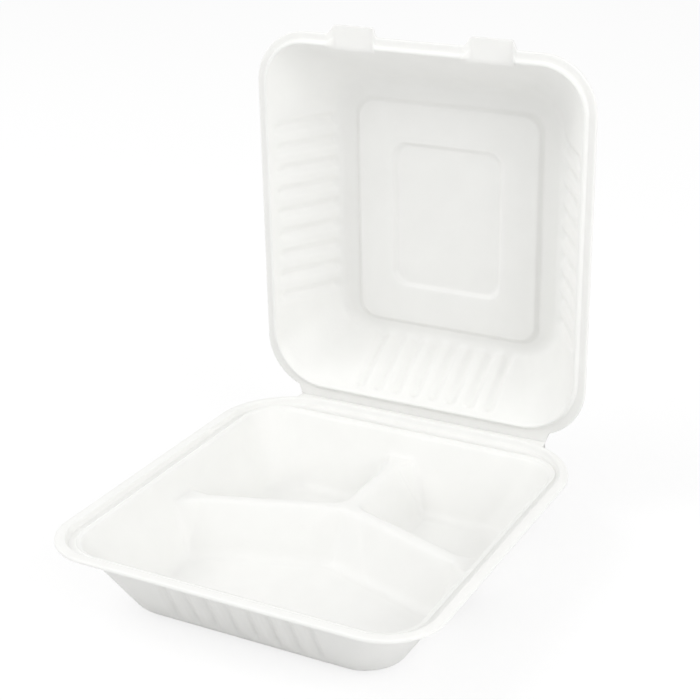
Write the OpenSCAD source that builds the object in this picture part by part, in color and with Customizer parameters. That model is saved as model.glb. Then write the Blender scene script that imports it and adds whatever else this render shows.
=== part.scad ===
// Hinged food box of moulded plant-fibre pulp, with a three-compartment tray.
// Both halves are drawn closed, with the crease along X and the rim's top at z = 0.
// The lid is then swung open about the crease, and the box is set down on its base.

/* [Tray] */
// Width of the tray across its rim
tray_w = 205; // [190:1:230]
// Depth of the tray, from the crease to the front edge of its rim
tray_d = 219; // [205:1:240]
// Height of the tray, from its underside to the top of its rim
tray_h = 42; // [36:0.5:52]
// Thickness of the pressed pulp
sheet = 0.8; // [0.6:0.1:1.2]
// Radius of the front corners of the tray's rim
tray_front_r = 30; // [26:1:34]
// Radius of the rear corners of the tray's rim
tray_rear_r = 44; // [41:1:47]

/* [Tray rim] */
// Width of the flat flange at the front and the sides
flange_w = 5.3; // [4.5:0.1:6.5]
// How far the recess for the lid lies below the flange
recess_h = 3.4; // [3:0.1:4.5]
// Width of the ledge at the bottom of the recess, at the front and the sides
ledge_w = 5.8; // [4.5:0.1:7]
// Width of the ledge along the crease
rear_ledge_w = 12; // [10:0.5:14]
// Sideways run of the recess's edge, from its top to its bottom
recess_run = 0.9; // [0.5:0.1:1.5]
// Height of the edge that turns down round the flange
edge_h = 1.6; // [1.2:0.1:2.5]
// Distance from the crease to the rear edge of the flange
rear_setback = 1.5; // [1:0.1:2.5]
// Width of the flange beside the crease
rear_flange_w = 1.7; // [1.5:0.1:2.5]
// Radius of the rear corners of the recess
recess_rear_r = 40; // [37:1:41]
// Height of the bead that runs along the ledge
bead_h = 0.6; // [0.4:0.1:0.8]
// Width of the bead that runs along the ledge
bead_w = 1.4; // [1:0.1:2]
// Distance from the wall to the middle of the bead
bead_mid = 2.3; // [2:0.1:2.6]

/* [Compartments] */
// Sideways run of the outer walls for each millimetre of height
tray_slope = 0.52; // [0.4:0.02:0.6]
// Sideways run of the dividers' sides for each millimetre of height
divider_slope = 0.62; // [0.5:0.02:0.7]
// How far the tops of the dividers lie below the flange
divider_drop = 15.7; // [12:0.1:20]
// Width of the top of the main divider
main_divider_w = 6; // [4:0.5:8]
// Width of the top of the short divider
short_divider_w = 7; // [5:0.5:9]
// Distance from the crease to the bend in the main divider's front edge
divider_bend = 90.5; // [84:0.5:98]
// Angle that each half of the main divider makes with the crease
divider_angle = 19; // [10:1:24]
// Radius between the walls and the floor
tray_floor_r = 8; // [6:0.5:10]
// Radius of the tray's corners in plan, inside
tray_corner_r = 19; // [16:1:22]
// How much each side of a divider widens where it meets a wall
divider_flare = 5; // [2:0.5:8]
// Length over which a divider widens
flare_l = 12; // [8:1:16]

/* [Lid] */
// Width of the lid across its rim
lid_w = 193; // [176:1:193.5]
// Distance from the crease to the free edge of the lid's rim
lid_d = 211.6; // [196:0.5:212]
// Inside height of the lid, from its rim to its panel
lid_h = 37.5; // [32:0.5:45]
// Radius of the corners of the lid's rim at the free edge
lid_front_r = 30; // [26:1:33]
// Radius of the corners of the lid's rim at the crease
lid_rear_r = 31; // [29:1:34]
// Width of the lid's flange outside its ridge
lid_flange_w = 4; // [3:0.1:5]
// Width of the lid's flange beside the crease
lid_rear_flange_w = 3; // [2.5:0.1:3.5]
// Distance from the crease to the rear edge of the lid's rim
lid_setback = 3; // [2:0.1:3.5]
// How far the ridge stands out of the lid's rim
ridge_h = 2; // [1.2:0.1:2.2]
// Width of the ridge
ridge_w = 3.2; // [2.5:0.1:4]
// Radius of the ridge's corners beside the crease
ridge_rear_r = 32; // [30:1:34]
// Sideways run of the lid's walls for each millimetre of height
lid_slope = 0.6; // [0.45:0.01:0.65]
// Radius between the lid's walls and its panel
lid_floor_r = 6; // [4:0.5:9]
// Angle of the lid above the tray, as it stands open
lid_open = 88.55; // [0:0.05:180]

/* [Lid panel] */
// Width of the raised field on the panel
field_w = 108.8; // [90:0.2:112]
// Length of the raised field
field_l = 129.7; // [110:0.2:132]
// Distance from the crease to the middle of the field
field_mid = 104.6; // [103:0.1:107]
// Radius of the field's corners
field_r = 10; // [6:0.5:16]
// How far the field stands into the lid
field_h = 2; // [1:0.1:3]
// Width of the sunk window in the field
window_w = 63.8; // [50:0.2:72]
// Length of the window
window_l = 82.7; // [60:0.2:94]
// Radius of the window's corners
window_r = 8.5; // [6:0.5:12]
// How far the window is sunk below the field
window_h = 2.2; // [1:0.1:3]
// Sideways run of the steps round the field and the window
step_run = 3.2; // [2:0.1:4]

/* [Ribs] */
// Radius of the grooves that stiffen the walls
groove_r = 2.8; // [2:0.1:3.2]
// Depth of the grooves
groove_depth = 1.5; // [0.8:0.1:2]
// Number of grooves on the tray's front wall
tray_groove_count = 8; // [4:1:9]
// Spacing of the grooves on the tray's front wall
tray_groove_pitch = 11.2; // [8:0.1:12]
// Number of grooves on each side wall of the lid
side_groove_count = 9; // [4:1:10]
// Spacing of the grooves on the lid's side walls
side_groove_pitch = 12.4; // [9:0.1:12.6]
// Distance from the crease to the middle groove on the lid's side walls
side_groove_mid = 107; // [103:0.5:111]
// Number of grooves on the lid's wall beside the crease
hinge_groove_count = 8; // [4:1:9]
// Spacing of the grooves on the lid's wall beside the crease
hinge_groove_pitch = 11.3; // [8:0.1:12]

/* [Tabs and crease] */
// Distance from the middle of the lid to each locking tab
tab_x = 39; // [30:0.5:46]
// Width of a tab's tongue
tab_w = 21.6; // [16:0.2:26]
// How far a tab reaches past the lid's flange
tab_reach = 4.4; // [3:0.1:5]
// How far the tongue is raised above the flange
tab_rise = 2.4; // [1.6:0.1:3.2]
// Sideways run of a tab's flanks
tab_flank = 4; // [2:0.1:6]
// Length of the crease between tray and lid
crease_l = 151; // [120:1:156]
// Gap between the two flanges when the lid is shut
lid_gap = 0.3; // [0.2:0.05:0.5]
// Gap along the crease
crease_gap = 0.35; // [0.3:0.05:0.6]

/* [Hidden] */
pulp = [0.96, 0.96, 0.945];
corner_steps = 8; // facets in each corner of an outline
fillet_angles = [0, 18, 36, 54, 72, 90]; // where the arc of a floor radius is sampled
foot_angles = [0, 20, 40, 60, 75]; // where the arc at a divider's foot is sampled
groove_margin = 4; // length of wall left plain above and below each groove
groove_fn = 12;
crease_chamfer = 1.5;
cut = 5; // how far a cutting shape runs past what it cuts
run_on = 40; // how far a divider is drawn on past the wall that it meets

wall_lean = atan(tray_slope);
recess_w = tray_w - 2 * flange_w;
recess_front = tray_d - flange_w;
recess_rear = rear_setback + rear_flange_w;
recess_front_r = tray_front_r - flange_w;
rear_sheet = 0.45 * rear_flange_w; // the sheet's thickness where the narrow flange turns down
edge_round = edge_h / 4;
wall_w = recess_w - 2 * (recess_run + ledge_w);
wall_front = recess_front - recess_run - ledge_w;
wall_rear = recess_rear + recess_run + rear_ledge_w;
tray_floor = sheet - tray_h;
divider_top = -divider_drop;
divider_lean = atan(divider_slope);
wall_drop = divider_drop - recess_h;
deck_x = wall_w / 2 - tray_slope * wall_drop;
deck_rear = wall_rear + tray_slope * wall_drop;
bend_rise = tan(divider_angle);
main_mid = divider_bend - main_divider_w / 2 / cos(divider_angle);
end_flare = divider_flare * (1 + run_on / flare_l);

lid_lean = atan(lid_slope);
ridge_x = lid_w / 2 - lid_flange_w;
ridge_front = lid_d - lid_flange_w;
ridge_rear = lid_setback + lid_rear_flange_w;
ridge_front_r = lid_front_r - lid_flange_w;
lid_wall_x = ridge_x - ridge_w;
lid_wall_front = ridge_front - ridge_w;
lid_wall_rear = ridge_rear + ridge_w;
lid_corner_r = ridge_front_r - ridge_w;
lid_rear_corner_r = ridge_rear_r - ridge_w;
tab_root = lid_wall_front - ridge_w;
field_z = field_h - lid_h;
window_z = field_z - window_h;

// Where the box stands: the middle of its footprint with the lid open, and its base at z = 0
axis_z = lid_gap / 2;
panel_edge = lid_wall_rear + side_run(lid_slope, -lid_h - sheet, 0, -lid_h, lid_floor_r, sheet);
back_reach = sin(lid_open) * (lid_h + sheet + axis_z) - cos(lid_open) * panel_edge;
stand_y = (tray_d - back_reach) / 2;

// Points on a corner of an outline, about its centre
function corner(x, y, r, start, z) =
    [for (i = [0 : corner_steps]) let (a = start + 90 * i / corner_steps)
        [x + r * cos(a), y + r * sin(a), z]];

// Rounded outline from y = -front to y = -rear at height z
function ring(half_w, front, rear, front_r, rear_r, z) = concat(
    corner(half_w - front_r, front_r - front, front_r, -90, z),
    corner(half_w - rear_r, -rear - rear_r, rear_r, 0, z),
    corner(rear_r - half_w, -rear - rear_r, rear_r, 90, z),
    corner(front_r - half_w, front_r - front, front_r, 180, z)
);

// How far a sloping side has run sideways at height z: a straight wall, then an arc down to the floor.
// With grow above 0 it is the outside of a wall of that thickness.
function side_run(slope, z, top, low, r, grow) =
    let (
        lean = atan(slope),
        centre_z = low + r,
        centre = slope * (top - centre_z) + r / cos(lean),
        drop = centre_z - z
    )
    drop <= (r + grow) * sin(lean)
    ? slope * (top - z) - grow / cos(lean)
    : centre - sqrt(max(0, (r + grow) ^ 2 - drop ^ 2));

// Heights of the rings of a wall, from its floor up to its top
function wall_heights(lean, top, low, r, grow) = concat(
    [for (i = [len(fillet_angles) - 1 : -1 : 0])
        let (a = lean + (90 - lean) * fillet_angles[i] / 90) low + r - (r + grow) * sin(a)],
    [top]
);

// Solid that runs through rings of equal length, closed by its first and last ring
module loft(rings) {
    n = len(rings[0]);
    last = n * (len(rings) - 1);
    polyhedron(
        points = [for (r = rings) each r],
        faces = concat(
            [[for (i = [0 : n - 1]) i]],
            [[for (i = [n - 1 : -1 : 0]) last + i]],
            [for (k = [0 : len(rings) - 2], i = [0 : n - 1])
                let (a = k * n + i, b = k * n + (i + 1) % n) each [[a, a + n, b + n], [a, b + n, b]]]
        )
    );
}

function reversed(list) = [for (i = [len(list) - 1 : -1 : 0]) list[i]];

function tray_wall_rings(grow, top) =
    [for (z = wall_heights(wall_lean, top, tray_floor, tray_floor_r, grow))
        let (run = side_run(tray_slope, z, -recess_h, tray_floor, tray_floor_r, grow))
        ring(
            wall_w / 2 - run, wall_front - run, wall_rear + run,
            tray_corner_r + grow / 2, tray_corner_r + grow / 2, z
        )];

// Outline of the rim, moved inward by e
function flange_ring(e, z) =
    ring(tray_w / 2 - e, tray_d - e, rear_setback + min(e, rear_sheet), tray_front_r - e, tray_rear_r - e, z);

// Outline of the recess, moved inward by e
function recess_ring(e, z) =
    ring(
        recess_w / 2 - e, recess_front - e, recess_rear + max(e, -rear_sheet),
        recess_front_r, recess_rear_r, z
    );

// Outline of the top of the wall, moved outward by e
function ledge_ring(e, z) =
    ring(wall_w / 2 + e, wall_front + e, wall_rear - e, tray_corner_r + e, tray_corner_r + e, z);

// The whole sheet of the tray but its dividers, from the underside round the rim to the floor
module tray_sheet() {
    loft(concat(
        tray_wall_rings(sheet, -recess_h - sheet),
        [
            recess_ring(recess_run - sheet, -recess_h - sheet),
            recess_ring(-sheet, -sheet),
            flange_ring(sheet, -sheet),
            flange_ring(sheet, -edge_h),
            flange_ring(0, -edge_h),
            flange_ring(0, -edge_round),
            flange_ring(edge_round, 0),
            recess_ring(0, 0),
            recess_ring(recess_run, -recess_h),
            ledge_ring(bead_mid + bead_w / 2, -recess_h),
            ledge_ring(bead_mid, bead_h - recess_h),
            ledge_ring(bead_mid - bead_w / 2, -recess_h)
        ],
        reversed(tray_wall_rings(0, -recess_h))
    ));
}

// Space inside the tray's walls, out to the middle of the sheet
module tray_space() {
    loft(tray_wall_rings(sheet / 2, -recess_h));
}

// Half-section of a divider: distance from its middle and height, from its top to below the floor
function divider_side(top_w, grow) = concat(
    [[top_w / 2 - grow / cos(divider_lean) + divider_slope * grow, divider_top - grow]],
    [for (f = foot_angles)
        let (
            a = divider_lean + (90 - divider_lean) * f / 90,
            z = tray_floor + tray_floor_r - (tray_floor_r + grow) * sin(a)
        )
        [top_w / 2 + side_run(divider_slope, z, divider_top, tray_floor, tray_floor_r, grow), z]]
);

// Section of a divider, widened by flare on each side
function divider_section(top_w, grow, flare) =
    let (
        half = divider_side(top_w, grow),
        foot = half[len(half) - 1][0] + flare,
        low = tray_floor - cut
    )
    concat(
        [[foot, low]],
        [for (p = reversed(half)) [p[0] + flare, p[1]]],
        [for (p = half) [-p[0] - flare, p[1]]],
        [[-foot, low]]
    );

// Main divider, bent toward the crease at the middle, or with grow the hollow under it
module main_divider(grow = 0) {
    far = [deck_x + run_on, end_flare];
    near = [deck_x - flare_l, 0];
    loft([for (s = [[-far[0], far[1]], [-near[0], 0], [0, 0], near, far])
        [for (p = divider_section(main_divider_w, grow, s[1]))
            [s[0], p[0] / cos(divider_angle) - main_mid - bend_rise * abs(s[0]), p[1]]]]);
}

// Short divider between the two rear compartments, or with grow the hollow under it
module short_divider(grow = 0) {
    loft([for (s = [[-main_mid, 0], [-deck_rear - flare_l, 0], [run_on - deck_rear, end_flare]])
        [for (p = divider_section(short_divider_w, grow, s[1])) [-p[0], s[0], p[1]]]]);
}

module dividers(grow = 0) {
    main_divider(grow);
    short_divider(grow);
}

// Round-ended groove between two points
module groove(from, to, grow = 0) {
    hull() for (p = [from, to]) translate(p) sphere(groove_r + grow, $fn = groove_fn);
}

module tray_grooves(grow = 0) {
    high = -recess_h - sheet - groove_margin;
    low = tray_floor + groove_margin;
    out = wall_front + (groove_r - groove_depth + sheet) / cos(wall_lean);
    for (i = [0 : tray_groove_count - 1]) {
        x = (i - (tray_groove_count - 1) / 2) * tray_groove_pitch;
        groove(
            [x, tray_slope * (-recess_h - high) - out, high],
            [x, tray_slope * (-recess_h - low) - out, low],
            grow
        );
    }
}

// Strip of the sheet that joins a rim to the crease, less a hollow with the given outline
module crease_strip(inner, hollow) {
    half = crease_l / 2;
    translate([0, 0, -sheet]) linear_extrude(sheet) difference() {
        polygon([
            [-half - crease_chamfer, -inner],
            [-half - crease_chamfer, -crease_gap - 2 * crease_chamfer],
            [-half, -crease_gap],
            [half, -crease_gap],
            [half + crease_chamfer, -crease_gap - 2 * crease_chamfer],
            [half + crease_chamfer, -inner]
        ]);
        polygon([for (p = hollow) [p[0], p[1]]]);
    }
}

module tray_shape() {
    difference() {
        union() {
            tray_sheet();
            crease_strip(rear_setback + flange_w, recess_ring(-sheet / 2, 0));
            intersection() {
                union() {
                    dividers();
                    tray_grooves(sheet);
                }
                tray_space();
            }
        }
        dividers(sheet);
        tray_grooves();
    }
}

function lid_wall_rings(grow, top) =
    [for (z = wall_heights(lid_lean, top, -lid_h, lid_floor_r, grow))
        let (run = side_run(lid_slope, z, 0, -lid_h, lid_floor_r, grow))
        ring(
            lid_wall_x - run, lid_wall_front - run, lid_wall_rear + run, lid_corner_r + grow / 2,
            lid_corner_r + (lid_rear_corner_r - lid_corner_r) * (1 + z / lid_h) + grow / 2, z
        )];

function lid_rim_ring(e, z) =
    ring(lid_w / 2 - e, lid_d - e, lid_setback + e, lid_front_r - e, lid_rear_r - e, z);

function ridge_ring(e, z) =
    ring(ridge_x - e, ridge_front - e, ridge_rear + e, ridge_front_r - e, ridge_rear_r - e, z);

// Outline about the middle of the panel, moved inward by e
function panel_ring(w, l, r, e, z) =
    ring(w / 2 - e, field_mid + l / 2 - e, field_mid - l / 2 + e, r, r, z);

function panel_rings(down) = [
    panel_ring(window_w, window_l, window_r, step_run / 2, window_z - down),
    panel_ring(window_w, window_l, window_r, -step_run / 2, field_z - down),
    panel_ring(field_w, field_l, field_r, step_run / 2, field_z - down),
    panel_ring(field_w, field_l, field_r, -step_run / 2, -lid_h - down)
];

// The whole sheet of the lid but its ribs and tabs, drawn with its panel down
module lid_sheet() {
    loft(concat(
        panel_rings(sheet),
        lid_wall_rings(sheet, -sheet),
        [
            lid_rim_ring(sheet, -sheet),
            lid_rim_ring(sheet, -edge_h),
            lid_rim_ring(0, -edge_h),
            lid_rim_ring(0, -edge_round),
            lid_rim_ring(edge_round, 0),
            ridge_ring(0, 0),
            ridge_ring(ridge_w / 4, ridge_h),
            ridge_ring(ridge_w * 3 / 4, ridge_h)
        ],
        reversed(lid_wall_rings(0, 0)),
        reversed(panel_rings(0))
    ));
}

// Space inside the lid's walls, out to the middle of the sheet
module lid_space() {
    loft(lid_wall_rings(sheet / 2, cut));
}

module lid_grooves(grow = 0) {
    high = -groove_margin;
    low = groove_margin - lid_h;
    in = (groove_r - groove_depth) / cos(lid_lean);
    for (i = [0 : side_groove_count - 1], side = [-1, 1]) {
        y = -side_groove_mid - (i - (side_groove_count - 1) / 2) * side_groove_pitch;
        groove(
            [side * (lid_wall_x + lid_slope * high - in), y, high],
            [side * (lid_wall_x + lid_slope * low - in), y, low],
            grow
        );
    }
    for (i = [0 : hinge_groove_count - 1]) {
        x = (i - (hinge_groove_count - 1) / 2) * hinge_groove_pitch;
        groove(
            [x, lid_slope * high - lid_wall_rear - in, high],
            [x, lid_slope * low - lid_wall_rear - in, low],
            grow
        );
    }
}

module block(half_w, front, rear, low, high) {
    translate([-half_w, -front, low]) cube([2 * half_w, front - rear, high - low]);
}

// Outside of a locking tab: a trough that runs from the wall out over the flange
module tab_outside() {
    hull() {
        block(tab_w / 2 + sheet, lid_d + tab_reach, tab_root, -tab_rise - sheet, sheet - tab_rise);
        block(tab_w / 2 + tab_flank + sheet, lid_d - edge_h, tab_root, -sheet, 0);
    }
}

module tab_inside() {
    tip = lid_d + tab_reach - sheet;
    hull() {
        block(tab_w / 2, tip, tab_root - cut, -tab_rise, 0);
        block(tab_w / 2 + tab_flank, tip, tab_root - cut, 0, cut);
    }
}

module tabs() {
    for (side = [-1, 1]) translate([side * tab_x, 0, 0]) children();
}

module lid_shape() {
    difference() {
        union() {
            lid_sheet();
            crease_strip(lid_setback + lid_flange_w, ridge_ring(sheet / 2, 0));
            difference() {
                union() {
                    lid_grooves(sheet);
                    tabs() tab_outside();
                }
                lid_space();
            }
        }
        lid_grooves();
        tabs() tab_inside();
    }
}

module tray() {
    color(pulp) translate([0, stand_y, tray_h]) tray_shape();
}

module lid() {
    color(pulp) translate([0, stand_y, tray_h + axis_z]) rotate([-lid_open, 0, 0])
        translate([0, 0, axis_z]) mirror([0, 0, 1]) lid_shape();
}

tray();
lid();
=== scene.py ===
import math

import bmesh
import bpy
from mathutils import Matrix, Vector


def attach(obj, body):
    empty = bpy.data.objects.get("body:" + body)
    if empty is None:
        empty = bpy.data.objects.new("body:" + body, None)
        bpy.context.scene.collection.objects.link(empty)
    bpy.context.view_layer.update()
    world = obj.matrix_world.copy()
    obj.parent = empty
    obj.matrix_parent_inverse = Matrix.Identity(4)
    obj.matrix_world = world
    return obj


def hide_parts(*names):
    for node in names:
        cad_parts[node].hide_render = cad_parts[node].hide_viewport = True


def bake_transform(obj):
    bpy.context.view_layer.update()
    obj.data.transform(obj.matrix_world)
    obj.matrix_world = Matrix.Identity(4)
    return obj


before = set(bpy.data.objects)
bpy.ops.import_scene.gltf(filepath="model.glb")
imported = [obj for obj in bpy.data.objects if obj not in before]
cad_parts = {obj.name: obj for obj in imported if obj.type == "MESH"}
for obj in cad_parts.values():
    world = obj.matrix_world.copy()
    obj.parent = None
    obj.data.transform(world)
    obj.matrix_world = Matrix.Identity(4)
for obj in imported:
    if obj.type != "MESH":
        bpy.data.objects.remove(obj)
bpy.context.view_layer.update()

# Pulp
# Both halves are one pressed sheet of bleached sugar-cane fibre. It is matt and off-white, with fibres that
# show as a faint unevenness, and thin enough to let some light through.

# Real fibres are too fine to show, so they are drawn as clumps. Clumps and clouds are counted for each
# millimetre, and the relief's height and the depth that light reaches are in millimetres.
FIBRE_CLUMPS = 0.7
COLOUR_CLOUDS = 0.06
FIBRE_RELIEF = 0.2
LIGHT_DEPTH = 0.5


def linear(code):
    """The linear colour of an sRGB hex code."""
    parts = [int(code[i : i + 2], 16) / 255 for i in (1, 3, 5)]
    return [p / 12.92 if p <= 0.04045 else ((p + 0.055) / 1.055) ** 2.4 for p in parts] + [1]


def add_node(tree, kind, settings=(), values=(), links=()):
    """Adds a node with its settings, its sockets' values and the sockets that feed it."""
    node = tree.nodes.new(kind)
    for name, value in dict(settings).items():
        setattr(node, name, value)
    for name, value in dict(values).items():
        node.inputs[name].default_value = value
    for name, source in dict(links).items():
        tree.links.new(source, node.inputs[name])
    return node


# Moulded sugar-cane pulp, pressed against smooth metal: pale and slightly warm, with a soft, low shine.
pulp = bpy.data.materials.new("pressed_bagasse_pulp")
pulp.use_nodes = True
tree = pulp.node_tree
tree.nodes.clear()
place = add_node(tree, "ShaderNodeTexCoord").outputs["Object"]
fibres = add_node(
    tree, "ShaderNodeTexNoise",
    values={"Scale": FIBRE_CLUMPS * 1000, "Detail": 4, "Roughness": 0.6},
    links={"Vector": place},
)
clouds = add_node(
    tree, "ShaderNodeTexNoise",
    values={"Scale": COLOUR_CLOUDS * 1000, "Detail": 3, "Roughness": 0.5},
    links={"Vector": place},
)
# Sockets 6 and 7 are the two colours that are mixed.
tint = add_node(
    tree, "ShaderNodeMix",
    settings={"data_type": "RGBA"},
    values={6: linear("#EBEBE9"), 7: linear("#F0F0EE")},
    links={"Factor": clouds.outputs["Fac"]},
)
relief = add_node(
    tree, "ShaderNodeBump",
    values={"Strength": 0.25, "Distance": FIBRE_RELIEF / 1000},
    links={"Height": fibres.outputs["Fac"]},
)
surface = add_node(
    tree, "ShaderNodeBsdfPrincipled",
    values={
        "Roughness": 0.45, "IOR": 1.45, "Subsurface Weight": 0.5,
        "Subsurface Radius": (1, 1, 1), "Subsurface Scale": LIGHT_DEPTH / 1000,
    },
    links={"Base Color": tint.outputs[2], "Normal": relief.outputs["Normal"]},
)
add_node(tree, "ShaderNodeOutputMaterial", links={"Surface": surface.outputs["BSDF"]})

# Tray
# The lower half, a sheet 0.8 mm thick pressed into a pan with a stepped rim. Two rounded walls divide it into
# a front compartment and two rear ones. The front wall has upright flutes.

# Sizes are in millimetres. The crease lies along X at y = 0 in the drawing, and the rim's top is at z = 0.
CREASE_Y = 90.725
TRAY_H = 42.0
SHEET = 0.8
EDGE_ROUND = 0.25
EDGE_ANGLE = 55
GRID_RINGS = 100
ARC_RINGS = 8
CORNER_SHARE = 0.26


def blend_up(a, b, width):
    """The higher of two heights, with a fillet where they meet."""
    gap = max(width - abs(a - b), 0) / width
    return max(a, b) + gap * gap * width / 4


def blend_down(a, b, width):
    """The lower of two heights, with a fillet where they meet."""
    return -blend_up(-a, -b, width)


def smooth(x, low, high):
    """Runs from 0 at low to 1 at high, without a kink."""
    t = min(max((x - low) / (high - low), 0), 1)
    return t * t * (3 - 2 * t)


def shape(half_w, front, rear, front_r, rear_r):
    """A rounded outline from y = -front to y = -rear, with its corners' radii."""
    return (half_w, front, rear, front_r, rear_r)


def inset(outline, e, rear_e=None):
    """The outline moved inward by e, with corners that shrink as much, and at the rear by rear_e."""
    half_w, front, rear, front_r, rear_r = outline
    return (half_w - e, front - e, rear + (e if rear_e is None else rear_e), front_r - e, rear_r - e)


def narrowed(outline, e):
    """The outline moved inward by e, with its corners' radii kept."""
    half_w, front, rear, front_r, rear_r = outline
    return (half_w - e, front - e, rear + e, front_r, rear_r)


def mixed(a, b, share):
    """The outline that lies at a share of the way from a to b."""
    return tuple(p + (q - p) * share for p, q in zip(a, b))


def outline_point(outline, u, v):
    """The point of an outline that belongs to a point on the edge of the unit square."""
    half_w, front, rear, front_r, rear_r = outline
    r = front_r if v < 0 else rear_r
    straight = 1 - CORNER_SHARE
    centre_x = half_w - r
    centre_y = -front + front_r if v < 0 else -rear - rear_r
    if abs(v) >= abs(u):
        t, sign = abs(u), 1 if u > 0 else -1
        if t <= straight:
            return sign * centre_x * t / straight, -front if v < 0 else -rear
        turn = math.radians(45) * (t - straight) / CORNER_SHARE
        rise = r * math.cos(turn)
        return sign * (centre_x + r * math.sin(turn)), centre_y - rise if v < 0 else centre_y + rise
    t, sign = abs(v), 1 if u > 0 else -1
    if t <= straight:
        low, high = -front + front_r, -rear - rear_r
        return sign * half_w, low + (high - low) * (v / straight + 1) / 2
    turn = math.radians(45) * (t - straight) / CORNER_SHARE
    along = r * math.sin(turn)
    return sign * (centre_x + r * math.cos(turn)), centre_y - along if v < 0 else centre_y + along


def wall_rings(outline, slope, top, low, radius, count, edge):
    """Rings down a sloping wall with a rounded top edge, then round the arc at its foot."""
    lean = math.atan(slope)
    centre_z = low + radius
    centre = slope * (top - centre_z) + radius / math.cos(lean)
    start = centre - radius * math.cos(lean)
    rings = []
    for i in range(1, count + 1):
        run = start * i / count
        rings.append((narrowed(outline, run), blend_down(top, top - run / slope, edge)))
    for i in range(1, ARC_RINGS + 1):
        angle = lean + (math.pi / 2 - lean) * i / ARC_RINGS
        run = centre - radius * math.cos(angle)
        rings.append((narrowed(outline, run), centre_z - radius * math.sin(angle)))
    return rings


def fill_rings(rings, centre_y, low):
    """Adds flat rings that shrink from the last one to a point."""
    last, missing = rings[-1][0], GRID_RINGS + 1 - len(rings)
    point = shape(0, centre_y, centre_y, 0, 0)
    return rings + [(mixed(last, point, i / missing), low) for i in range(1, missing + 1)]


def pressed_sheet(name, rings, reshape, place_point, flip):
    """A grid warped onto the rings, reshaped point by point, and given the sheet's thickness."""
    bm = bmesh.new()
    bmesh.ops.create_grid(bm, x_segments=2 * GRID_RINGS, y_segments=2 * GRID_RINGS, size=1)
    for vert in bm.verts:
        u, v = vert.co.x, vert.co.y
        reach = max(abs(u), abs(v))
        index = GRID_RINGS - round(reach * GRID_RINGS)
        outline, z = rings[index]
        if index == GRID_RINGS:
            x, y = 0, -outline[1]
        else:
            x, y = outline_point(outline, u / reach, v / reach)
        vert.co = place_point(*reshape(x, y, z, index))
    if flip:
        bmesh.ops.reverse_faces(bm, faces=bm.faces)
    for face in bm.faces:
        face.smooth = True
    mesh = bpy.data.meshes.new(name)
    bm.to_mesh(mesh)
    bm.free()
    piece = bpy.data.objects.new(name, mesh)
    bpy.context.scene.collection.objects.link(piece)
    mesh.materials.append(pulp)
    solid = piece.modifiers.new("sheet", "SOLIDIFY")
    solid.thickness = SHEET / 1000
    solid.offset = -1
    solid.use_even_offset = True
    edge = piece.modifiers.new("rim_edge", "BEVEL")
    edge.width = EDGE_ROUND / 1000
    edge.segments = 2
    edge.limit_method = "ANGLE"
    edge.angle_limit = math.radians(EDGE_ANGLE)
    return piece


FLANGE = shape(half_w=102.5, front=219, rear=1.5, front_r=30, rear_r=44)
RECESS = shape(half_w=97.2, front=213.7, rear=3.2, front_r=24.7, rear_r=40)
TRAY_WALL = shape(half_w=90.5, front=207, rear=16.1, front_r=19, rear_r=19)
RECESS_H = 3.4
TRAY_FLOOR = SHEET - TRAY_H
TRAY_FOOT_R = 8
TRAY_SLOPE = 0.52
TRAY_CENTRE = 110

# The rim's section, ring by ring, as the distance inward and the height. The flange's edge is turned down.
tray_rings = [
    (FLANGE, -1.6),
    (FLANGE, -0.9),
    (inset(FLANGE, 0.12, 0.1), -0.35),
    (inset(FLANGE, 0.45, 0.3), -0.06),
    (inset(FLANGE, 1, 0.6), 0),
    (mixed(inset(FLANGE, 1, 0.6), narrowed(RECESS, -0.6), 0.5), 0),
    (narrowed(RECESS, -0.6), 0),
    (narrowed(RECESS, -0.15), -0.08),
    (narrowed(RECESS, 0.15), -0.5),
    (narrowed(RECESS, 0.5), -1.7),
    (narrowed(RECESS, 0.75), -2.9),
    (narrowed(RECESS, 0.95), -3.25),
    (narrowed(RECESS, 1.15), -RECESS_H),
    (mixed(narrowed(RECESS, 1.15), inset(TRAY_WALL, -2.95), 0.5), -RECESS_H),
    (inset(TRAY_WALL, -2.95), -RECESS_H),
    (inset(TRAY_WALL, -2.7), -3.15),
    (inset(TRAY_WALL, -2.3), -2.8),
    (inset(TRAY_WALL, -1.8), -3.15),
    (inset(TRAY_WALL, -1.4), -RECESS_H),
    (inset(TRAY_WALL, -0.6), -3.45),
    (TRAY_WALL, -3.7),
]
tray_rings += wall_rings(TRAY_WALL, TRAY_SLOPE, -RECESS_H, TRAY_FLOOR, TRAY_FOOT_R, count=18, edge=1.2)
tray_rings = fill_rings(tray_rings, TRAY_CENTRE, TRAY_FLOOR)

# The rim's first rings become the flat strip that ends at the crease. It narrows to nothing at its two ends.
STRIP_RINGS = 4
STRIP_EDGE = 0.35
STRIP_ENDS = (75.5, 77)
TRAY_STRIP_STEP = 0.3
TRAY_STRIP_Y = 5

# The long divider turns at its middle, and the short one runs from there to the rear wall. Both flare where
# they meet a wall.
DIVIDER_TOP = -15.7
DIVIDER_SLOPE = 0.62
DIVIDER_EDGE = 2
DIVIDER_JOIN = 7
LONG_Y = 87.33
LONG_TURN = math.radians(19)
LONG_TURN_R = 3
LONG_HALF = 3
SHORT_HALF = 3.5
FLARE = 5
FLARE_RUN = 12
FLARE_X = 84.1
FLARE_Y = 22.5
DIVIDERS_BELOW = 3.6

# The fillet between a divider and a wall grows with depth.
FILLET = 2
FILLET_GROWTH = 3
FILLET_DEPTHS = (0, 8)

# A row of flutes is given by its pitch, its count and the half width of one flute.
FRONT_FLUTES = (11.2, 8, 4.2)
FRONT_FLUTE_DEPTH = 2.2
FRONT_FLUTE_TOPS = (6, 10)
FRONT_FLUTE_FEET = (33, 39)
FRONT_FLUTE_Y = (180, 186)


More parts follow.
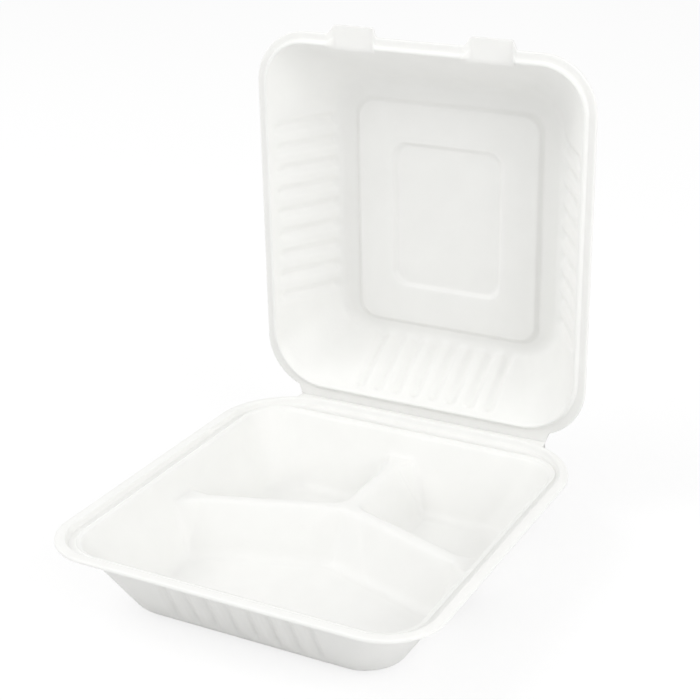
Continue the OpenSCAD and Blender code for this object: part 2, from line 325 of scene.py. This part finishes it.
def flute(offset, pitch, count, half_w):
    """How deep a row of flutes is at a distance from its middle, from 0 to 1."""
    number = min(max(round(offset / pitch + (count - 1) / 2), 0), count - 1)
    away = abs(offset - (number - (count - 1) / 2) * pitch)
    return smooth(half_w - away, 0, half_w)


def flute_fade(z, tops, feet):
    """Fades flutes in below their tops and out at their feet."""
    return smooth(-z, *tops) * (1 - smooth(-z, *feet))


def tray_point(x, y, z, index):
    """Adds the crease strip, the dividers and the front flutes to a point of the pan."""
    if y > -TRAY_STRIP_Y and index < STRIP_RINGS:
        strip = 1 - smooth(abs(x), *STRIP_ENDS)
        y += (-STRIP_EDGE - TRAY_STRIP_STEP * index - y) * strip
        z += -z * strip
    if z < -DIVIDERS_BELOW:
        line = -LONG_Y - math.tan(LONG_TURN) * (math.hypot(x, LONG_TURN_R) - LONG_TURN_R)
        flare = FLARE * max(0, (abs(x) - FLARE_X + FLARE_RUN) / FLARE_RUN)
        from_long = abs(y - line) * math.cos(LONG_TURN) - LONG_HALF - flare
        flare = FLARE * max(0, (y + FLARE_Y + FLARE_RUN) / FLARE_RUN)
        from_short = max(abs(x) - SHORT_HALF - flare, line - y)
        away = blend_down(from_long, from_short, DIVIDER_JOIN)
        divider = blend_down(DIVIDER_TOP, DIVIDER_TOP - away / DIVIDER_SLOPE, DIVIDER_EDGE)
        fillet = FILLET + FILLET_GROWTH * smooth(DIVIDER_TOP - divider, *FILLET_DEPTHS)
        z = blend_up(z, divider, fillet)
    fade = flute_fade(z, FRONT_FLUTE_TOPS, FRONT_FLUTE_FEET) * smooth(-y, *FRONT_FLUTE_Y)
    y += FRONT_FLUTE_DEPTH * flute(x, *FRONT_FLUTES) * fade
    return x, y, z


def closed_place(x, y, z):
    """From the drawing of the shut box, in millimetres, to the frame."""
    return Vector((x, y + CREASE_Y, z + TRAY_H)) / 1000


tray = pressed_sheet("pulp_tray", tray_rings, tray_point, closed_place, flip=False)
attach(tray, "tray")
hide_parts("tray")

# Lid
# The upper half, pressed from the same sheet. A ridge round its rim drops into the tray's recess, and two
# tongues on the free edge lock it. Its panel has a stepped field and window, and three walls have flutes.

# The lid is drawn mirrored, with its panel below its rim, so its depths are below zero as the tray's are.
LID_GAP = 0.3
LID_OPEN = math.radians(88.55)
LID_RIM = shape(half_w=96.5, front=211.6, rear=3, front_r=30, rear_r=31)
RIDGE = shape(half_w=92.5, front=207.6, rear=6, front_r=26, rear_r=32)
LID_WALL = shape(half_w=89.3, front=204.4, rear=9.2, front_r=22.8, rear_r=28.8)
LID_H = 37.5
LID_FOOT_R = 6
LID_SLOPE = 0.6
REAR_R_LOSS = 6
PANEL_CENTRE = 104.6
FIELD_Z = -35.5
WINDOW_Z = -37.7
STEP_RUN = 3.2
STEP_RINGS = 6

# Width, length and corner radius of the panel's two steps.
FIELD = (108.8, 129.7, 10)
WINDOW = (63.8, 82.7, 8.5)


def panel_shape(width, length, radius, e):
    """A rounded rectangle about the panel's centre, moved inward by e."""
    return shape(width / 2 - e, PANEL_CENTRE + length / 2 - e, PANEL_CENTRE - length / 2 + e, radius, radius)


def step_rings(size, low, high):
    """Rings over a rounded step on the panel."""
    rings = []
    for i in range(STEP_RINGS + 1):
        share = i / STEP_RINGS
        z = low + (high - low) * smooth(share, 0, 1)
        rings.append((panel_shape(*size, STEP_RUN * (share - 0.5)), z))
    return rings


def flat_rings(outer, inner, parts, z):
    """Flat rings between two outlines, with both outlines left out."""
    return [(mixed(outer, inner, i / parts), z) for i in range(1, parts)]


# The rim's section, ring by ring, as the distance inward and the height: the edge, the flat and the ridge.
lid_rings = [
    (LID_RIM, -1.6),
    (LID_RIM, -0.9),
    (inset(LID_RIM, 0.12), -0.35),
    (inset(LID_RIM, 0.45), -0.06),
    (inset(LID_RIM, 1), 0),
    (mixed(inset(LID_RIM, 1), inset(RIDGE, -0.4), 0.5), 0),
    (inset(RIDGE, -0.4), 0),
    (inset(RIDGE, 0), 0.2),
    (inset(RIDGE, 0.35), 0.9),
    (inset(RIDGE, 0.7), 1.6),
    (inset(RIDGE, 1.1), 1.93),
    (inset(RIDGE, 1.6), 2),
    (inset(RIDGE, 2.1), 1.93),
    (inset(RIDGE, 2.5), 1.6),
    (inset(RIDGE, 2.85), 0.9),
]
# The wall's rear corners grow tighter with depth.
for outline, z in wall_rings(LID_WALL, LID_SLOPE, 0, -LID_H, LID_FOOT_R, count=24, edge=0.1):
    tighter = REAR_R_LOSS * max(0, -z) / LID_H
    lid_rings.append((outline[:4] + (outline[4] - tighter,), z))
lid_rings += flat_rings(lid_rings[-1][0], panel_shape(*FIELD, -STEP_RUN / 2), 5, -LID_H)
lid_rings += step_rings(FIELD, -LID_H, FIELD_Z)
lid_rings += flat_rings(panel_shape(*FIELD, STEP_RUN / 2), panel_shape(*WINDOW, -STEP_RUN / 2), 10, FIELD_Z)
lid_rings += step_rings(WINDOW, FIELD_Z, WINDOW_Z)
lid_rings = fill_rings(lid_rings, PANEL_CENTRE, WINDOW_Z)

LID_STRIP_STEP = 0.9
LID_STRIP_Y = 7

# The tongues stand on the front edge, left and right of its middle. Their flanks slope.
TONGUE_X = 39
TONGUE_HALF = 10.8
TONGUE_FLANK = 4
TONGUE_DROP = 2.4
TONGUE_REACH = 4.4
TONGUE_FROM = 195
TONGUE_BEND = (203, 211)
TURNED_RINGS = 2

SIDE_FLUTES = (12.4, 9, 4.6)
SIDE_FLUTE_DEPTH = 2.3
SIDE_FLUTES_Y = 107
SIDE_FLUTES_FROM = 60
REAR_FLUTES = (11.3, 8, 4.2)
REAR_FLUTE_DEPTH = 2.2
REAR_FLUTES_TO = 40
LID_FLUTE_TOPS = (1.5, 5)
LID_FLUTE_FEET = (35, 37.4)


def lid_point(x, y, z, index):
    """Adds the crease strip, the tongues and the flutes to a point of the lid."""
    if y > -LID_STRIP_Y and index <= STRIP_RINGS:
        strip = 1 - smooth(abs(x), *STRIP_ENDS)
        y += (-STRIP_EDGE - LID_STRIP_STEP * index - y) * strip
        z += -z * strip
    tongue = 1 - smooth(abs(abs(x) - TONGUE_X), TONGUE_HALF, TONGUE_HALF + TONGUE_FLANK)
    if y < -TONGUE_FROM and tongue > 0:
        if index < TURNED_RINGS:
            z -= TONGUE_DROP * tongue
        else:
            z += (min(z, -TONGUE_DROP) - z) * tongue
        y -= TONGUE_REACH * tongue * smooth(-y, *TONGUE_BEND)
    fade = flute_fade(z, LID_FLUTE_TOPS, LID_FLUTE_FEET)
    if abs(x) > SIDE_FLUTES_FROM:
        x += math.copysign(SIDE_FLUTE_DEPTH * flute(y + SIDE_FLUTES_Y, *SIDE_FLUTES) * fade, x)
    if y > -REAR_FLUTES_TO:
        y += REAR_FLUTE_DEPTH * flute(x, *REAR_FLUTES) * fade
    return x, y, z


def open_place(x, y, z):
    """From the drawing of the lid, in millimetres, to the frame, with the lid swung open."""
    n = LID_GAP / 2 - z
    turned_y = y * math.cos(LID_OPEN) + n * math.sin(LID_OPEN)
    turned_z = -y * math.sin(LID_OPEN) + n * math.cos(LID_OPEN)
    return closed_place(x, turned_y, turned_z + LID_GAP / 2)


lid = pressed_sheet("pulp_lid", lid_rings, lid_point, open_place, flip=True)
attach(lid, "lid")
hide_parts("lid")

# Crease
# The same sheet pressed thin along the line between the halves, so that it folds.
# At rest it is a flat strip on each half with nearly a quarter turn between them.

CREASE_R = 0.5
CREASE_SHEET = 0.5
CREASE_HALF = 75.3
FLAT_ROWS = 6
TURN_ROWS = 8
ROW = 0.25

rows = 2 * FLAT_ROWS + TURN_ROWS
crease_bm = bmesh.new()
bmesh.ops.create_grid(crease_bm, x_segments=60, y_segments=rows, size=1)
for vert in crease_bm.verts:
    x, row = vert.co.x * CREASE_HALF, (vert.co.y + 1) * rows / 2
    if row < FLAT_ROWS:
        y, z = (row - FLAT_ROWS) * ROW, -CREASE_R
    elif row <= FLAT_ROWS + TURN_ROWS:
        turn = LID_OPEN * (row - FLAT_ROWS) / TURN_ROWS
        y, z = CREASE_R * math.sin(turn), -CREASE_R * math.cos(turn)
    else:
        y, z = CREASE_R, (row - FLAT_ROWS - TURN_ROWS) * ROW
    vert.co = closed_place(x, y, z + LID_GAP / 2)
for face in crease_bm.faces:
    face.smooth = True
crease_mesh = bpy.data.meshes.new("pulp_crease")
crease_bm.to_mesh(crease_mesh)
crease_bm.free()
crease = bpy.data.objects.new("pulp_crease", crease_mesh)
bpy.context.scene.collection.objects.link(crease)
crease_mesh.materials.append(pulp)
crease_solid = crease.modifiers.new("sheet", "SOLIDIFY")
crease_solid.thickness = CREASE_SHEET / 1000
crease_solid.offset = 0
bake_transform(crease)

# Studio
# A white floor and white surroundings, with soft light from both sides. The camera sees the floor as nearly
# white, and the box is lit by a greyer one.

WHITE = linear("#FFFFFF")
FLOOR_HALF = 12
FLOOR_GLOW = 0.75
SURROUND_LIGHT = 0.78
SOFT_BOX_SIDE = 1.2
SOFT_BOX_AIM = Vector((0, 0, 0.08))

floor_bm = bmesh.new()
bmesh.ops.create_grid(floor_bm, x_segments=1, y_segments=1, size=FLOOR_HALF)
floor_mesh = bpy.data.meshes.new("floor")
floor_bm.to_mesh(floor_mesh)
floor_bm.free()
floor = bpy.data.objects.new("floor", floor_mesh)
bpy.context.scene.collection.objects.link(floor)

# Matt studio paper. Sockets 1 and 2 are what a mix blends, and the camera's rays meet the second of them.
paper = bpy.data.materials.new("white_studio_paper")
paper.use_nodes = True
tree = paper.node_tree
tree.nodes.clear()
is_camera = add_node(tree, "ShaderNodeLightPath").outputs["Is Camera Ray"]
matt = add_node(tree, "ShaderNodeBsdfDiffuse", values={"Color": WHITE})
glow = add_node(tree, "ShaderNodeEmission", values={"Color": WHITE, "Strength": 1})
seen = add_node(
    tree, "ShaderNodeMixShader",
    values={"Fac": FLOOR_GLOW}, links={1: matt.outputs[0], 2: glow.outputs[0]},
)
lit = add_node(tree, "ShaderNodeBsdfDiffuse", values={"Color": linear("#E8E8E8")})
both = add_node(
    tree, "ShaderNodeMixShader",
    links={"Fac": is_camera, 1: lit.outputs[0], 2: seen.outputs[0]},
)
add_node(tree, "ShaderNodeOutputMaterial", links={"Surface": both.outputs[0]})
floor_mesh.materials.append(paper)

world = bpy.data.worlds.new("studio")
bpy.context.scene.world = world
world.use_nodes = True
tree = world.node_tree
tree.nodes.clear()
is_camera = add_node(tree, "ShaderNodeLightPath").outputs["Is Camera Ray"]
light = add_node(tree, "ShaderNodeBackground", values={"Color": WHITE, "Strength": SURROUND_LIGHT})
seen = add_node(tree, "ShaderNodeBackground", values={"Color": WHITE, "Strength": 1})
both = add_node(
    tree, "ShaderNodeMixShader",
    links={"Fac": is_camera, 1: light.outputs[0], 2: seen.outputs[0]},
)
add_node(tree, "ShaderNodeOutputWorld", links={"Surface": both.outputs[0]})

# Each soft box's place, in metres, and its power, in watts.
for name, place, power in (
    ("soft_box_left", (-1.2, -0.8, 1.5), 13),
    ("soft_box_right", (1.6, -0.5, 0.9), 12),
):
    lamp_data = bpy.data.lights.new(name, "AREA")
    lamp_data.shape = "SQUARE"
    lamp_data.size = SOFT_BOX_SIDE
    lamp_data.energy = power
    lamp = bpy.data.objects.new(name, lamp_data)
    lamp.location = place
    lamp.rotation_euler = (SOFT_BOX_AIM - lamp.location).to_track_quat("-Z", "Y").to_euler()
    bpy.context.scene.collection.objects.link(lamp)

# Camera
# It stands where the photo was taken from, to the right of the box and above it. Its place, its right and
# its up directions were worked out from the photo, in metres.

CAMERA_PLACE = (0.3413, -0.6424, 0.4072)
CAMERA_RIGHT = Vector((0.8867, 0.4623, -0.0071))
CAMERA_UP = Vector((-0.1664, 0.3334, 0.9280))

camera_data = bpy.data.cameras.new("camera")
camera_data.lens = 81
camera_data.sensor_width = 36
camera = bpy.data.objects.new("camera", camera_data)
turn = Matrix((CAMERA_RIGHT, CAMERA_UP, CAMERA_RIGHT.cross(CAMERA_UP))).transposed()
camera.matrix_world = Matrix.Translation(CAMERA_PLACE) @ turn.to_4x4()
bpy.context.scene.collection.objects.link(camera)
bpy.context.scene.camera = camera
bpy.context.scene.view_settings.view_transform = "Standard"
